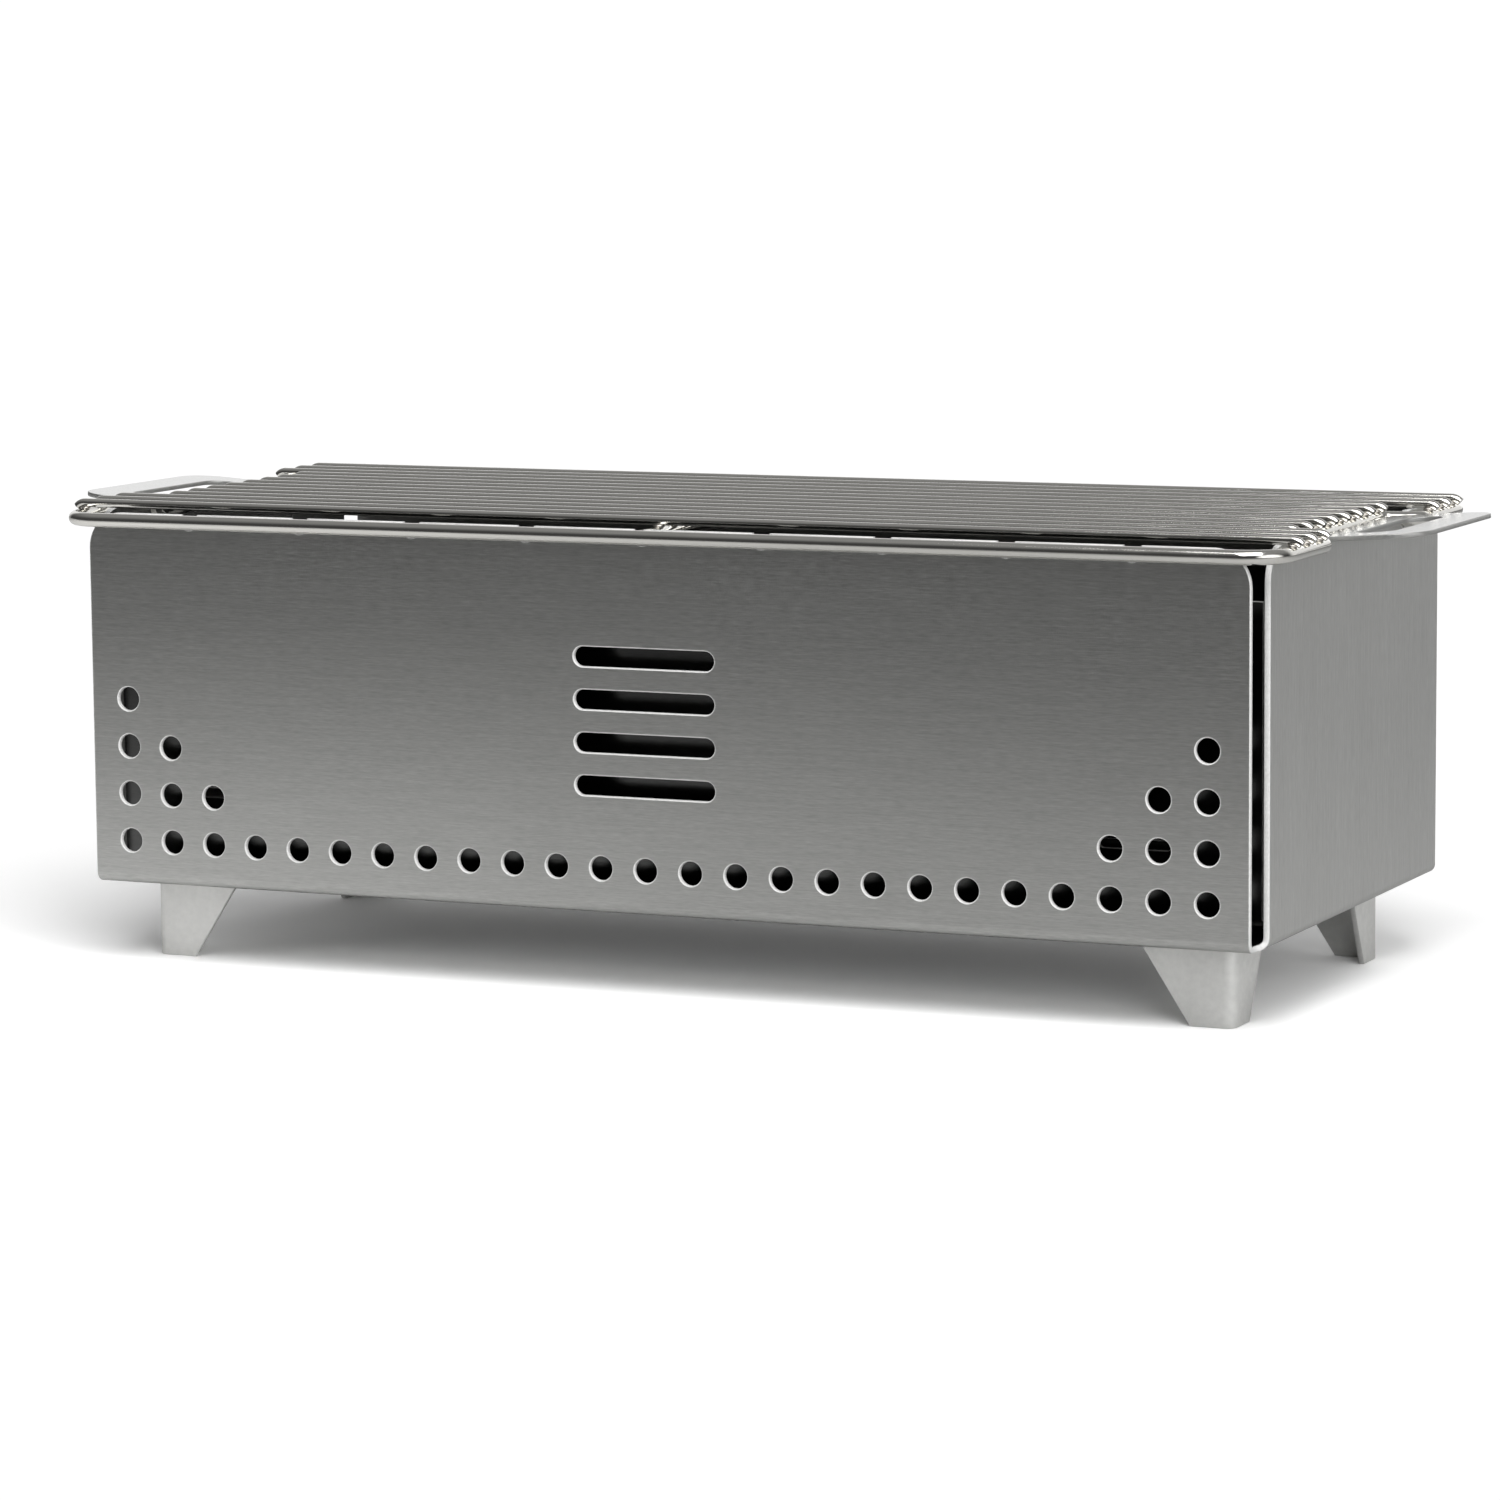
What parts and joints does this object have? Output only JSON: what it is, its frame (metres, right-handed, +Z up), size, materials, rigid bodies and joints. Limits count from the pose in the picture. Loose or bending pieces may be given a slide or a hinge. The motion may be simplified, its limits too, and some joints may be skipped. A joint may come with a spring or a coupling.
{
  "type": "portable tabletop grill",
  "caption": "Portable tabletop charcoal grill: folded sheet body on bent feet, a lift-out fire box with handles and a wire cooking grate.",
  "frame": {"origin": "on the table, under the middle of the grill's bounding box", "axes": "+X to the right along the long side, -Y to the front with the slotted vent, +Z up"},
  "size_m": [0.487, 0.2002, 0.1561],
  "materials": {
    "body_sheet": "fine horizontal brushing on the front and back, upright brushing on the sides",
    "foot_sheet": "matt, fine grain",
    "rivet": "plain",
    "fire_box_sheet": "bright, fine horizontal brushing",
    "charcoal_grid_sheet": "plain sheet",
    "grate_frame_rod": "mirror-bright rod",
    "grate_top_rod": "mirror-bright rod"
  },
  "bodies": {
    "body": {"outer_body": "body_sheet", "foot_front_left": "foot_sheet", "foot_front_right": "foot_sheet", "foot_back_left": "foot_sheet", "foot_back_right": "foot_sheet", "foot_rivet_front_left_1": "rivet", "foot_rivet_front_left_2": "rivet", "foot_rivet_front_right_1": "rivet", "foot_rivet_front_right_2": "rivet", "foot_rivet_back_left_1": "rivet", "foot_rivet_back_left_2": "rivet", "foot_rivet_back_right_1": "rivet", "foot_rivet_back_right_2": "rivet"},
    "fire_box": {"fire_box": "fire_box_sheet"},
    "charcoal_grid": {"charcoal_grid": "charcoal_grid_sheet"},
    "grate": {"grate_frame": "grate_frame_rod", "grate_cross_rod": "grate_frame_rod", "grate_rod_01": "grate_top_rod", "grate_rod_02": "grate_top_rod", "grate_rod_03": "grate_top_rod", "grate_rod_04": "grate_top_rod", "grate_rod_05": "grate_top_rod", "grate_rod_06": "grate_top_rod", "grate_rod_07": "grate_top_rod", "grate_rod_08": "grate_top_rod", "grate_rod_09": "grate_top_rod", "grate_rod_10": "grate_top_rod", "grate_rod_11": "grate_top_rod", "grate_rod_12": "grate_top_rod", "grate_rod_13": "grate_top_rod", "grate_rod_14": "grate_top_rod"}
  },
  "joints": [
    {"name": "fire_box_lift", "type": "slide", "parent": "body", "child": "fire_box", "axis": [0, 0, 1], "range_m": [0, 0.13]},
    {"name": "charcoal_grid_lift", "type": "slide", "parent": "fire_box", "child": "charcoal_grid", "axis": [0, 0, 1], "range_m": [0, 0.11]},
    {"name": "grate_lift", "type": "slide", "parent": "charcoal_grid", "child": "grate", "axis": [0, 0, 1], "range_m": [0, 0.06]}
  ]
}
